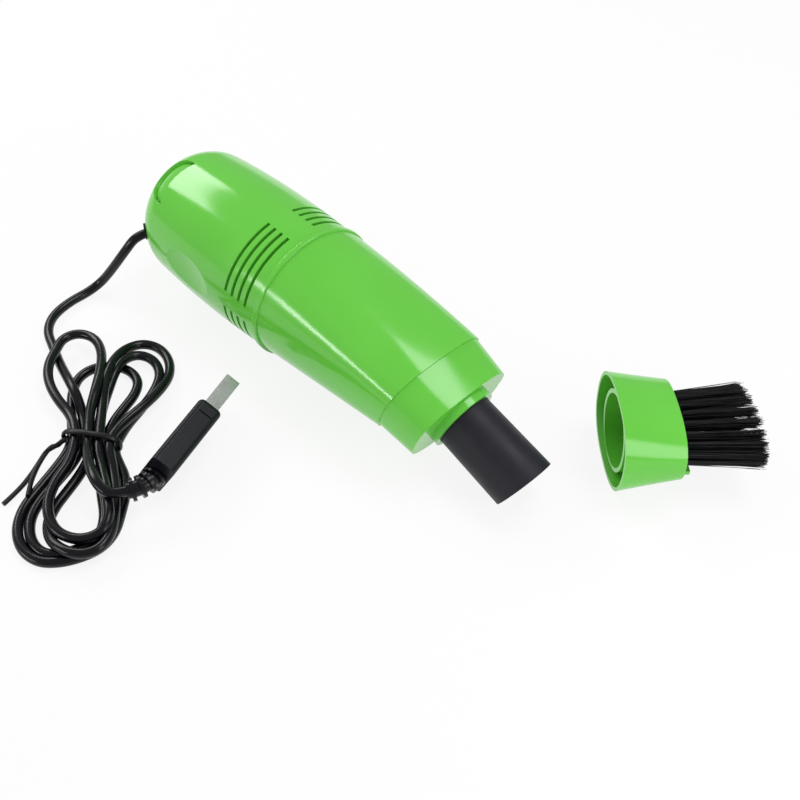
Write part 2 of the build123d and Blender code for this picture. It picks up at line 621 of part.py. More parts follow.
# Brush cup: a flat cone with a floor, an inner ring that fits the spigot, ribs between them and a bristle shield
ring_bore = SPIGOT_RADIUS + RING_FIT
ring_radius = ring_bore + RING_WALL
cup_floor = CUP_LENGTH - CUP_FLOOR
floor_share = cup_floor / CUP_LENGTH
floor_half_width = CUP_HALF_WIDTH + (CUP_END_HALF_WIDTH - CUP_HALF_WIDTH) * floor_share
floor_half_height = CUP_HALF_HEIGHT + (CUP_END_HALF_HEIGHT - CUP_HALF_HEIGHT) * floor_share


def cup_room(inset):
    """Inside of the brush cup from its mouth to its floor, set in by a wall."""
    return oval_loft(BRUSH, CUP_POWER, (0, CUP_HALF_WIDTH - inset, CUP_HALF_HEIGHT - inset),
                     (cup_floor, floor_half_width - inset, floor_half_height - inset))


brush_cup = oval_loft(BRUSH, CUP_POWER, (0, CUP_HALF_WIDTH, CUP_HALF_HEIGHT),
                      (CUP_LENGTH, CUP_END_HALF_WIDTH, CUP_END_HALF_HEIGHT))
brush_cup = brush_cup - cup_room(CUP_WALL)
rib_room = cup_room(CUP_WALL / 2) - tube(BRUSH, ring_radius - RING_WALL / 2, 0, 0, CUP_LENGTH)
rib_box = Pos(0, 0, CUP_RIB_SETBACK + CUP_LENGTH / 2) * Box(2 * CUP_HALF_WIDTH, CUP_RIB_WIDTH, CUP_LENGTH)
for rib in range(CUP_RIBS // 2):
    turn = CUP_RIB_TURN + 180 * rib / (CUP_RIBS // 2)
    brush_cup = brush_cup + ((BRUSH * Rot(0, 0, turn) * rib_box) & rib_room)
brush_cup = brush_cup + (tube(BRUSH, ring_radius, ring_bore, RING_SETBACK, RING_DEPTH) & cup_room(CUP_WALL / 2))
shield_back = CUP_LENGTH - CUP_FLOOR / 2
shield_length = SHIELD_LENGTH + CUP_FLOOR / 2
brush_cup = brush_cup + BRUSH * Pos(0, -SHIELD_DEPTH, shield_back + shield_length / 2) * Box(
    SHIELD_WIDTH, SHIELD_THICKNESS, shield_length)
plate_back = CUP_LENGTH - TUFT_PLATE
plate_outline = oval(TUFT_PLATE_HALF_WIDTH, TUFT_PLATE_HALF_HEIGHT, CUP_POWER)
brush_cup = brush_cup - BRUSH * Pos(0, 0, plate_back) * extrude(plate_outline, TUFT_PLATE)

# Bristles: tufts of strands that stand on a plate round a suction slot, fan out a little and are cut on a slant
golden_turn = pi * (3 - sqrt(5))
strands = []
for ring, (ring_half_width, ring_half_height, tufts) in enumerate(TUFT_RINGS):
    for tuft in range(tufts):
        swing = 2 * pi * (tuft + ring / 2) / tufts
        for strand in range(TUFT_STRANDS):
            spread = TUFT_SPREAD * sqrt((strand + 0.5) / TUFT_STRANDS)
            root_x = ring_half_width * cos(swing) + spread * cos(strand * golden_turn)
            root_y = ring_half_height * sin(swing) + spread * sin(strand * golden_turn)
            ragged = BRISTLE_RAGGED * sin(golden_turn * (tuft * TUFT_STRANDS + strand) ** 2)
            length = BRISTLE_LENGTH - BRISTLE_SLANT * root_x + ragged + STRAND_ROOT
            lean = Vector(root_x / BRISTLE_APEX, root_y / BRISTLE_APEX, 1)
            root = Pos(root_x, root_y, CUP_LENGTH - STRAND_ROOT) * Rectangle(STRAND_WIDTH, STRAND_WIDTH)
            strands.append(extrude(root, length * lean.length, dir=lean.normalized()))
slot_outline = oval(SLOT_HALF_WIDTH, SLOT_HALF_HEIGHT, CUP_POWER)
tuft_plate = Pos(0, 0, plate_back) * extrude(plate_outline - slot_outline, TUFT_PLATE)
brush_bristles = BRUSH * (tuft_plate + strands)

# Gland at the parting line, and the cord's first stretch, from the gland over the table to the hank
table = Vector(0, 0, BODY_RADIUS)
gland = tube(GLAND, GLAND_RADIUS, 0, -GLAND_DEPTH, GLAND_LENGTH)
gland = gland + (tube(GLAND, GLAND_FLANGE_RADIUS, 0, -GLAND_DEPTH, 0) & inner_dome)
cable_gland = gland - tube(GLAND, CORD_RADIUS, 0, -GLAND_DEPTH, GLAND_LENGTH)


def hank_axes(lean):
    """Along and across directions of a hank layer that leans from the hank's axis."""
    turn = radians(HANK_TURN + lean)
    return Vector(-sin(turn), cos(turn), 0), Vector(cos(turn), sin(turn), 0)


def hank_point(lean, across, along, height):
    """Point of a hank layer, from the waist and above the table."""
    along_axis, across_axis = hank_axes(lean)
    return Vector(WAIST[0], WAIST[1], height) + across_axis * across + along_axis * along


def lobe(lean, height, reach, first, second):
    """Three nodes of an end loop: side, apex and side, with the half widths of the two sides."""
    along_axis, across_axis = hank_axes(lean)
    end = 1 if reach > 0 else -1
    radius = (abs(first) + abs(second)) / 2
    straight = reach - end * radius
    return [(hank_point(lean, first, straight, height), along_axis * end),
            (hank_point(lean, (first + second) / 2, reach, height), across_axis * (-1 if first > 0 else 1)),
            (hank_point(lean, second, straight, height), along_axis * -end)]


def hank_nodes():
    """Points and directions of the hank: the lower layer from outside in, then the upper from inside out."""
    low = CORD_RADIUS
    high = CORD_RADIUS + LAYER_STEP
    low_axis = hank_axes(LOWER_LEAN)[0]
    high_axis = hank_axes(UPPER_LEAN)[0]
    columns = [WAIST_INNER + STRAND_STEP * place for place in range(max(LOWER_LOOPS, UPPER_LOOPS))]
    lobes = [INNER_LOBE + STRAND_STEP * place for place in range(max(LOWER_LOOPS, UPPER_LOOPS))]
    outermost = columns[LOWER_LOOPS - 1]
    nodes = [(hank_point(LOWER_LEAN, -outermost, HANK_START, low + TIE_LIFT), -low_axis)]
    for loop in reversed(range(LOWER_LOOPS)):
        nested = (LOWER_LOOPS - 1 - loop) * STRAND_STEP
        nodes.append((hank_point(LOWER_LEAN, -columns[loop], -TIE_WIDTH, low + TIE_LIFT), -low_axis))
        nodes += lobe(LOWER_LEAN, low, nested - LOWER_BOTTOM, -lobes[loop], lobes[loop])
        rise_start = -TIE_WIDTH if loop > 0 else -HANK_CLIMB
        nodes.append((hank_point(LOWER_LEAN, columns[loop], rise_start, low + TIE_LIFT), low_axis))
        if loop > 0:
            nodes.append((hank_point(LOWER_LEAN, columns[loop], TIE_WIDTH, low + TIE_LIFT), low_axis))
            nodes += lobe(LOWER_LEAN, low, LOWER_TOP - nested, lobes[loop], -lobes[loop - 1])
            nodes.append((hank_point(LOWER_LEAN, -columns[loop - 1], TIE_WIDTH, low + TIE_LIFT), -low_axis))
    for loop in range(UPPER_LOOPS):
        nested = (UPPER_LOOPS - 1 - loop) * STRAND_STEP
        if loop > 0:
            nodes += lobe(UPPER_LEAN, high, nested - UPPER_BOTTOM, -lobes[loop - 1], lobes[loop])
            nodes.append((hank_point(UPPER_LEAN, columns[loop], -TIE_WIDTH, high + TIE_LIFT), high_axis))
        rise_end = TIE_WIDTH if loop > 0 else HANK_CLIMB
        nodes.append((hank_point(UPPER_LEAN, columns[loop], rise_end, high + TIE_LIFT), high_axis))
        nodes += lobe(UPPER_LEAN, high, UPPER_TOP - nested, lobes[loop], -lobes[loop])
        nodes.append((hank_point(UPPER_LEAN, -columns[loop], TIE_WIDTH, high + TIE_LIFT), -high_axis))
        nodes.append((hank_point(UPPER_LEAN, -columns[loop], -TIE_WIDTH, high + TIE_LIFT), -high_axis))
    tail_height = high + TIE_LIFT + TAIL_CLIMB
    nodes.append((hank_point(UPPER_LEAN, -columns[UPPER_LOOPS - 1], -TAIL_END, tail_height), -high_axis))
    return nodes


def biarcs(nodes):
    """Two tangent arcs from each node to the next."""
    edges = []
    for (start, leave), (end, arrive) in zip(nodes, nodes[1:]):
        span = end - start
        both = span.dot(leave + arrive)
        bend = 1 - leave.dot(arrive)
        if bend < 0.0001:
            reach = span.dot(span) / (4 * span.dot(arrive))
        else:
            reach = (sqrt(both ** 2 + 2 * bend * span.dot(span)) - both) / (2 * bend)
        first = start + leave * reach
        second = end - arrive * reach
        joint = (first + second) / 2
        if (joint - (start + end) / 2).length < 0.001 and (span.normalized() - leave).length < 0.001:
            edges.append(Line(start, end))
        else:
            edges.append(arc_or_line(start, first, joint))
            edges.append(arc_or_line(joint, second, end))
    return edges


# Cord: the lead from the gland, the hank, and the tail to the plug
nodes = hank_nodes()
hank_start, hank_heading = nodes[0]
hank_end, tail_heading = nodes[-1]
lead_points = [GLAND.from_local_coords((0, 0, -GLAND_DEPTH)) + table,
               GLAND.from_local_coords((0, 0, LEAD_START)) + table]
lead_points += [Vector(*point) for point in LEAD_POINTS]
lead_points += [hank_start - hank_heading * HANK_START, hank_start]
cable_lead, lead_bend, lead_length = rounded_route(lead_points, CORD_RADIUS)

hank_edges = biarcs(nodes)
hank_path = Wire(hank_edges)
cable_hank = sweep(Plane(hank_start, z_dir=hank_heading) * Circle(CORD_RADIUS), path=hank_path)

# Plug: its plane stands at the rear of the overmould, with x across the wide way and z along the plug,
# and the stiff cord holds it a little off the table
plug_axis = Vector(cos(radians(PLUG_YAW)), sin(radians(PLUG_YAW)), 0)
plug_side = Vector(plug_axis.Y, -plug_axis.X, 0)
plug_wide = Vector(0, 0, 1) * cos(radians(PLUG_ROLL)) + plug_side * sin(radians(PLUG_ROLL))
plug_height = ((PLUG_WIDTH / 2 - PLUG_EDGE) * cos(radians(PLUG_ROLL))
               + (PLUG_THICKNESS / 2 - PLUG_EDGE) * sin(radians(PLUG_ROLL)) + PLUG_EDGE + PLUG_LIFT)
PLUG = Plane((PLUG_REAR[0], PLUG_REAR[1], plug_height), x_dir=plug_wide, z_dir=plug_axis)
plug_body = extrude(RectangleRounded(PLUG_WIDTH, PLUG_THICKNESS, PLUG_EDGE), PLUG_LENGTH)
plug_body = fillet(plug_body.faces().sort_by(Axis.Z)[-1].edges(), PLUG_FRONT_EDGE)
plug_body = plug_body - Pos(0, 0, PLUG_LENGTH - SHELL_BITE) * extrude(
    Rectangle(SHELL_WIDTH, SHELL_THICKNESS), SHELL_BITE)
panel = Box(2 * PLUG_PANEL_DEPTH, PLUG_PANEL_WIDTH, PLUG_PANEL_LENGTH)
for side in (-1, 1):
    plug_body = plug_body - Pos(side * PLUG_WIDTH / 2, 0, PLUG_PANEL_PLACE) * panel
plug_body = PLUG * plug_body
shell_back = PLUG_LENGTH - SHELL_BITE
shell_front = PLUG_LENGTH + SHELL_LENGTH
shell_room = Rectangle(SHELL_WIDTH - 2 * SHELL_WALL, SHELL_THICKNESS - 2 * SHELL_WALL)
shell_section = Rectangle(SHELL_WIDTH, SHELL_THICKNESS) - shell_room
plug_shell = Pos(0, 0, shell_back) * extrude(shell_section, shell_front - shell_back)
for side in (-1, 1):
    window = Pos(side * SHELL_HOLE_SPREAD, 0, PLUG_LENGTH + SHELL_HOLE_PLACE)
    plug_shell = plug_shell - window * Box(SHELL_HOLE, 2 * SHELL_THICKNESS, SHELL_HOLE)
plug_shell = PLUG * plug_shell
board_width = SHELL_WIDTH - 2 * SHELL_WALL
board_bottom = SHELL_WALL - SHELL_THICKNESS / 2
board_front = shell_front - BOARD_SETBACK
plug_tongue = PLUG * Pos(0, board_bottom + BOARD_THICKNESS / 2, (shell_back + board_front) / 2) * Box(
    board_width, BOARD_THICKNESS, board_front - shell_back)
plug_contacts = []
for contact in range(CONTACT_COUNT):
    contact_x = (contact - (CONTACT_COUNT - 1) / 2) * CONTACT_PITCH
    contact_y = board_bottom + BOARD_THICKNESS + CONTACT_THICKNESS / 2
    plug_contacts.append(PLUG * Pos(contact_x, contact_y, board_front - CONTACT_LENGTH / 2 - BOARD_SETBACK)
                         * Box(CONTACT_WIDTH, CONTACT_THICKNESS, CONTACT_LENGTH))

# Strain relief: a bent core with ribs, from the plug's rear to the cord
relief_turn = radians(RELIEF_BEND)
relief_radius = RELIEF_LENGTH / relief_turn
rear = Vector(PLUG_REAR[0], PLUG_REAR[1], plug_height)
relief_centre = rear - plug_side * relief_radius


def relief_place(share):
    """Point and backward direction of the strain relief's bent axis."""
    angle = relief_turn * share
    backward = plug_axis * -cos(angle) - plug_side * sin(angle)
    return relief_centre + (plug_side * cos(angle) - plug_axis * sin(angle)) * relief_radius, backward


relief_end, relief_heading = relief_place(1.0)
relief_path = ThreePointArc(rear, relief_place(0.5)[0], relief_end)
plug_strain_relief = sweep(Plane(rear, z_dir=-plug_axis) * Circle(RELIEF_RADIUS), path=relief_path)
for rib in range(RELIEF_RIBS):
    place, backward = relief_place((rib + RELIEF_RIB_PLACE) / RELIEF_RIBS)
    plug_strain_relief = plug_strain_relief + tube(Plane(place, z_dir=backward), RELIEF_RIB_RADIUS, 0,
                                                   -RELIEF_RIB_WIDTH / 2, RELIEF_RIB_WIDTH / 2)

# Cord's last stretch, over the hank to the strain relief
tail_points = [hank_end, hank_end + tail_heading * TAIL_FIRST_RUN]
for across, along, height in TAIL_TURNS:
    tail_points.append(hank_point(0.0, across, along, height))
tail_points.append(relief_end + relief_heading * TAIL_LAST_RUN)
tail_points.append(relief_end)
cable_tail, tail_bend, tail_length = rounded_route(tail_points, CORD_RADIUS)

# Twist tie: a band round the waist and two loose ends
waist_lean = radians(max(abs(LOWER_LEAN), abs(UPPER_LEAN)))
tie_half = ((WAIST_INNER + STRAND_STEP * (LOWER_LOOPS - 1) + CORD_RADIUS) / cos(waist_lean)
            + TIE_WIDTH / 2 * tan(waist_lean) + TIE_ROOM)
tie_bottom = TIE_FLOOR + TIE_THICKNESS
tie_top = 2 * CORD_RADIUS + LAYER_STEP + TIE_LIFT + TIE_ROOM
along_axis, across_axis = hank_axes(0.0)
TIE = Plane((WAIST[0], WAIST[1], (tie_bottom + tie_top) / 2), x_dir=across_axis, z_dir=along_axis)
tie_inner = RectangleRounded(2 * tie_half, tie_top - tie_bottom, TIE_CORNER)
tie_outer = RectangleRounded(2 * (tie_half + TIE_THICKNESS), tie_top - tie_bottom + 2 * TIE_THICKNESS,
                             TIE_CORNER + TIE_THICKNESS)
twist_tie = TIE * Pos(0, 0, -TIE_WIDTH / 2) * extrude(tie_outer - tie_inner, TIE_WIDTH)
for root, *turns in TIE_ENDS:
    points = [hank_point(0.0, -tie_half - TIE_THICKNESS / 2, root[0], root[1])]
    points += [hank_point(0.0, *turn) for turn in turns]
    twist_tie = twist_tie + rounded_route(points, TIE_WIRE_RADIUS)[0]

# Wires from the gland to the switch, from the switch to one motor terminal, and from the gland to the other
switch_rear = SWITCH_SIDE / 2
terminal_end = MOTOR_REAR - TERMINAL_LENGTH
wire_root = -GLAND_DEPTH
wire_routes = (
    (GLAND.from_local_coords((WIRE_SPREAD, 0, wire_root)),
     GLAND.from_local_coords((WIRE_SPREAD, 0, wire_root - WIRE_TAIL)),
     BUTTON.from_local_coords((-SWITCH_LUG, switch_rear + WIRE_SWEEP, switch_middle - WIRE_TAIL)),
     BUTTON.from_local_coords((-SWITCH_LUG, switch_rear + WIRE_TAIL, switch_middle)),
     BUTTON.from_local_coords((-SWITCH_LUG, switch_rear, switch_middle))),
    (BUTTON.from_local_coords((SWITCH_LUG, switch_rear, switch_middle)),
     BUTTON.from_local_coords((SWITCH_LUG, switch_rear + WIRE_TAIL, switch_middle)),
     Vector(terminal_end - WIRE_SWEEP, TERMINAL_SPREAD / 2, WIRE_TAIL),
     Vector(terminal_end - WIRE_TAIL, TERMINAL_SPREAD, 0),
     Vector(terminal_end, TERMINAL_SPREAD, 0)),
    (GLAND.from_local_coords((-WIRE_SPREAD, 0, wire_root)),
     GLAND.from_local_coords((-WIRE_SPREAD, 0, wire_root - WIRE_TAIL)),
     Vector(terminal_end - WIRE_DETOUR, -WIRE_ASIDE, -WIRE_SPREAD),
     Vector(terminal_end - WIRE_TAIL, -TERMINAL_SPREAD, 0),
     Vector(terminal_end, -TERMINAL_SPREAD, 0)))
power_wires = [rounded_route(route, WIRE_RADIUS)[0] for route in wire_routes]

# Nodes: the vacuum's are raised so that its belly rests on the table, the rest already stand on it
raised = {
    "rear_shell_upper": rear_shell_upper,
    "rear_shell_lower": rear_shell_lower,
    "power_button": power_button,
    "switch_plunger": switch_plunger,
    "switch_body": switch_body,
    "housing_screws": Compound(children=screws),
    "motor_bracket": bracket,
    "motor_can": motor_can,
    "motor_end_cap": motor_end_cap,
    "motor_terminals": Compound(children=motor_terminals),
    "motor_shaft": motor_shaft,
    "motor_screws": Compound(children=motor_screws),
    "impeller": impeller,
    "front_shell": front_shell,
    "filter_pad": filter_pad,
    "filter_frame": filter_frame,
    "nose_collar": nose_collar,
    "rubber_nozzle": rubber_nozzle,
    "power_wires": Compound(children=power_wires),
    "cable_gland": cable_gland,
}
parts = {name: Pos(0, 0, BODY_RADIUS) * solid for name, solid in raised.items()}
parts["brush_cup"] = brush_cup
parts["brush_bristles"] = brush_bristles
box = Compound(children=[Part(solid.wrapped) for solid in parts.values()]).bounding_box()
origin = Vector((box.min.X + box.max.X) / 2, (box.min.Y + box.max.Y) / 2, box.min.Z)
parts["cable_lead"] = cable_lead
parts["cable_hank"] = cable_hank
parts["cable_tail"] = cable_tail
parts["twist_tie"] = twist_tie
parts["plug_strain_relief"] = plug_strain_relief
parts["plug_body"] = plug_body
parts["plug_shell"] = plug_shell
parts["plug_tongue"] = plug_tongue
parts["plug_contacts"] = Compound(children=plug_contacts)

os.makedirs("parts", exist_ok=True)
for name, solid in parts.items():
    export_step(Pos(-origin.X, -origin.Y, -origin.Z) * solid, f"parts/{name}.step")

# Bends, lengths and the least gap of the hank to itself, for the log
samples = []
run = 0.0
for edge in hank_edges:
    count = max(2, round(edge.length / SAMPLE_STEP))
    samples += [(run + edge.length * step / count, edge @ (step / count)) for step in range(count)]
    run += edge.length
gaps = []
for first, (first_run, first_point) in enumerate(samples):
    for other_run, other_point in samples[first + 1:]:
        if other_run - first_run > SAMPLE_RUN:
            gaps.append((other_point - first_point).length - 2 * CORD_RADIUS)
print("hank length", round(hank_path.length, 1), "least gap", round(min(gaps), 2))
print("lead", round(lead_length, 1), round(lead_bend, 1), "tail", round(tail_length, 1), round(tail_bend, 1))
print("origin", origin, "size", box.size)
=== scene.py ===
from math import atan, cos, pi, radians, sin

import bpy
import numpy as np
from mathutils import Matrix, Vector


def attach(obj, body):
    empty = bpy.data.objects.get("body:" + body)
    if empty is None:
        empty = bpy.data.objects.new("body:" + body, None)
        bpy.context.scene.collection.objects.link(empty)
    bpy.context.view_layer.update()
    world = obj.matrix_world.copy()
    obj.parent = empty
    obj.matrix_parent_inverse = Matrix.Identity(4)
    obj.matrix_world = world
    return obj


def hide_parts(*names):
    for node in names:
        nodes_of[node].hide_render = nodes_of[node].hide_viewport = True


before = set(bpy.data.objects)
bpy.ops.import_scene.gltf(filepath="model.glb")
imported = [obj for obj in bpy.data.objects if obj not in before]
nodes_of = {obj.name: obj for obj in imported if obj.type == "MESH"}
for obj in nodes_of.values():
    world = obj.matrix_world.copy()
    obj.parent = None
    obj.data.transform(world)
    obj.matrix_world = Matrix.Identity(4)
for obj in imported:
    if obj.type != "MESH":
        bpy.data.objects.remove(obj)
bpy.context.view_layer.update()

# The table: a plain white sweep under the vacuum. For the camera and in reflections it is nearly its own white,
# and a small share of it is lit, so that it keeps a faint shadow.
TABLE_SIZE = 3.0
TABLE_WHITE = (0.93, 0.93, 0.93, 1.0)
TABLE_LIT_SHARE = 0.13
table_corner = TABLE_SIZE / 2
table_mesh = bpy.data.meshes.new("table")
table_mesh.from_pydata([(-table_corner, -table_corner, 0), (table_corner, -table_corner, 0),
                        (table_corner, table_corner, 0), (-table_corner, table_corner, 0)], [], [(0, 1, 2, 3)])


def linked(name, data):
    """Object with that data, linked into the scene."""
    piece = bpy.data.objects.new(name, data)
    bpy.context.collection.objects.link(piece)
    return piece


table = linked("table", table_mesh)
table_paint = bpy.data.materials.new("white_table")
table_paint.use_nodes = True
tree = table_paint.node_tree
tree.nodes.clear()
lit = tree.nodes.new("ShaderNodeBsdfDiffuse")
lit.inputs["Color"].default_value = TABLE_WHITE
plain = tree.nodes.new("ShaderNodeEmission")
plain.inputs["Color"].default_value = (1, 1, 1, 1)
plain.inputs["Strength"].default_value = 1.0
paths = tree.nodes.new("ShaderNodeLightPath")
seen = tree.nodes.new("ShaderNodeMath")
seen.operation = "MAXIMUM"
share = tree.nodes.new("ShaderNodeMath")
share.operation = "MULTIPLY"
share.inputs[1].default_value = 1 - TABLE_LIT_SHARE
mix = tree.nodes.new("ShaderNodeMixShader")
out = tree.nodes.new("ShaderNodeOutputMaterial")
tree.links.new(paths.outputs["Is Camera Ray"], seen.inputs[0])
tree.links.new(paths.outputs["Is Glossy Ray"], seen.inputs[1])
tree.links.new(seen.outputs[0], share.inputs[0])
tree.links.new(share.outputs[0], mix.inputs["Fac"])
tree.links.new(lit.outputs[0], mix.inputs[1])
tree.links.new(plain.outputs[0], mix.inputs[2])
tree.links.new(mix.outputs[0], out.inputs["Surface"])
table_mesh.materials.append(table_paint)

# Camera and studio: the camera stands on the nose's side and looks down on the vacuum, as in the photograph.
# A broad softbox hangs overhead, a window stands behind the tail, a low strip lights the left flank, and a small
# card stands beside the brush.
CAMERA_PLACE = (0.14925, -0.16057, 0.22190)
CAMERA_TARGET = (0.00245, -0.01857, 0.0)
CAMERA_FOCAL = 1000 / 800  # in widths of the picture
CAMERA_NEAR = 0.005
# Each lamp's name, place, aim, width, height and power
LAMPS = (("overhead_softbox", (0.10, 0.22, 0.66), (0.0, -0.01, 0.02), 0.36, 0.28, 1.75),
         ("tail_window", (-0.612, -0.03, 0.431), (-0.08, -0.03, 0.04), 0.45, 0.16, 1.6),
         ("left_strip", (-0.25, -0.66, 0.21), (0.0, -0.04, 0.03), 0.36, 0.08, 1.05),
         ("brush_card", (0.296, -0.001, 0.139), (0.0755, 0.0036, 0.0215), 0.10, 0.20, 0.24))
ROOM_LEVEL = 0.42
camera_data = bpy.data.cameras.new("camera")
camera_data.sensor_fit = "HORIZONTAL"
camera_data.angle = 2 * atan(0.5 / CAMERA_FOCAL)
camera_data.clip_start = CAMERA_NEAR
camera = linked("camera", camera_data)
camera.location = CAMERA_PLACE
look = Vector(CAMERA_TARGET) - Vector(CAMERA_PLACE)
camera.rotation_euler = look.to_track_quat("-Z", "Y").to_euler()
bpy.context.scene.camera = camera
for lamp_name, place, aim, wide, tall, power in LAMPS:
    lamp_data = bpy.data.lights.new(lamp_name, "AREA")
    lamp_data.shape = "RECTANGLE"
    lamp_data.size = wide
    lamp_data.size_y = tall
    lamp_data.energy = power
    lamp = linked(lamp_name, lamp_data)
    lamp.location = place
    lamp.rotation_euler = (Vector(aim) - Vector(place)).to_track_quat("-Z", "Y").to_euler()
world = bpy.data.worlds.new("white_room")
bpy.context.scene.world = world
world.use_nodes = True
tree = world.node_tree
background = tree.nodes["Background"]
background.inputs["Color"].default_value = (1, 1, 1, 1)
room_level = tree.nodes.new("ShaderNodeMapRange")
room_level.inputs["To Min"].default_value = ROOM_LEVEL
room_level.inputs["To Max"].default_value = 1.0
room_path = tree.nodes.new("ShaderNodeLightPath")
tree.links.new(room_path.outputs["Is Camera Ray"], room_level.inputs["Value"])
tree.links.new(room_level.outputs["Result"], background.inputs["Strength"])
bpy.context.scene.view_settings.view_transform = "Standard"

# Housing, dust chamber, collar, button and brush cup: one bright green styrene, moulded glossy.
# The halves are screwed together. The mould leaves a very fine skin and faint flow clouds in the colour.
GREEN = (0.152, 0.640, 0.062, 1.0)
GREEN_DEEP = (0.128, 0.570, 0.050, 1.0)
GREEN_NODES = ("rear_shell_upper", "rear_shell_lower", "power_button", "front_shell", "nose_collar",
               "brush_cup")
GRAIN_DETAIL = 3.0
CLOUD_DETAIL = 2.0
CLOUD_RANGE = (0.3, 0.7)


def mould_skin_group():
    """Skin of a moulding: a fine noise is its height and a slow noise its clouds, each from 0 to 1."""
    group = bpy.data.node_groups.new("mould_skin", "ShaderNodeTree")
    for socket in ("Grain Scale", "Cloud Scale"):
        group.interface.new_socket(socket, in_out="INPUT", socket_type="NodeSocketFloat")
    for socket in ("Height", "Clouds"):
        group.interface.new_socket(socket, in_out="OUTPUT", socket_type="NodeSocketFloat")
    entry = group.nodes.new("NodeGroupInput")
    leave = group.nodes.new("NodeGroupOutput")
    place = group.nodes.new("ShaderNodeTexCoord")
    grain = group.nodes.new("ShaderNodeTexNoise")
    grain.inputs["Detail"].default_value = GRAIN_DETAIL
    clouds = group.nodes.new("ShaderNodeTexNoise")
    clouds.inputs["Detail"].default_value = CLOUD_DETAIL
    group.links.new(place.outputs["Object"], grain.inputs["Vector"])
    group.links.new(place.outputs["Object"], clouds.inputs["Vector"])
    group.links.new(entry.outputs["Grain Scale"], grain.inputs["Scale"])
    group.links.new(entry.outputs["Cloud Scale"], clouds.inputs["Scale"])
    group.links.new(grain.outputs["Fac"], leave.inputs["Height"])
    group.links.new(clouds.outputs["Fac"], leave.inputs["Clouds"])
    return group


mould_skin = mould_skin_group()


def moulded(name, light, deep, smooth, rough, bump, grain_scale, cloud_scale):
    """Moulded material: colour and roughness drift with the clouds, and the grain is a bump, in metres."""
    material = bpy.data.materials.new(name)
    material.use_nodes = True
    tree = material.node_tree
    shader = tree.nodes["Principled BSDF"]
    skin = tree.nodes.new("ShaderNodeGroup")
    skin.node_tree = mould_skin
    skin.inputs["Grain Scale"].default_value = grain_scale
    skin.inputs["Cloud Scale"].default_value = cloud_scale
    colour = tree.nodes.new("ShaderNodeMix")
    colour.data_type = "RGBA"
    colour.inputs["A"].default_value = deep
    colour.inputs["B"].default_value = light
    gloss = tree.nodes.new("ShaderNodeMapRange")
    gloss.inputs["From Min"].default_value, gloss.inputs["From Max"].default_value = CLOUD_RANGE
    gloss.inputs["To Min"].default_value = smooth
    gloss.inputs["To Max"].default_value = rough
    relief = tree.nodes.new("ShaderNodeBump")
    relief.inputs["Strength"].default_value = 1.0
    relief.inputs["Distance"].default_value = bump
    tree.links.new(skin.outputs["Clouds"], colour.inputs["Factor"])
    tree.links.new(colour.outputs["Result"], shader.inputs["Base Color"])
    tree.links.new(skin.outputs["Clouds"], gloss.inputs["Value"])
    tree.links.new(gloss.outputs["Result"], shader.inputs["Roughness"])
    tree.links.new(skin.outputs["Height"], relief.inputs["Height"])
    tree.links.new(relief.outputs["Normal"], shader.inputs["Normal"])
    return material


def dull(material, level):
    """Lowers how strongly a material reflects, for rubber and soft plastics."""
    material.node_tree.nodes["Principled BSDF"].inputs["Specular IOR Level"].default_value = level


def dress(material, *names):
    """Gives CAD pieces one material in all their slots."""
    for name in names:
        mesh = nodes_of[name].data
        mesh.materials.clear()
        mesh.materials.append(material)


green_plastic = moulded("green_plastic", GREEN, GREEN_DEEP, smooth=0.11, rough=0.17, bump=0.000004,
                        grain_scale=1400.0, cloud_scale=45.0)
dress(green_plastic, *GREEN_NODES)

# Rubber nozzle: a soft black tube with a dull skin, cut on a slant at its mouth.
# It is pushed into the spigot of the nose and held there by its grip alone.
NOZZLE_BLACK = (0.012, 0.012, 0.017, 1.0)
NOZZLE_WORN = (0.019, 0.018, 0.026, 1.0)
nozzle_rubber = moulded("nozzle_rubber", NOZZLE_WORN, NOZZLE_BLACK, smooth=0.44, rough=0.56, bump=0.00002,
                        grain_scale=1800.0, cloud_scale=120.0)
dull(nozzle_rubber, 0.26)
dress(nozzle_rubber, "rubber_nozzle")

# Lead: a round black flex with a satin jacket, held in the housing by its gland. It falls to the table and runs
# to the hank, four loose loops each side of a twist tie that fan out and lie over each other, and to the plug.
# The route's lines are the fall, the run, and then by turns a pass under the tie and a loop, lower and upper.
CORD_DIAMETER = 0.003
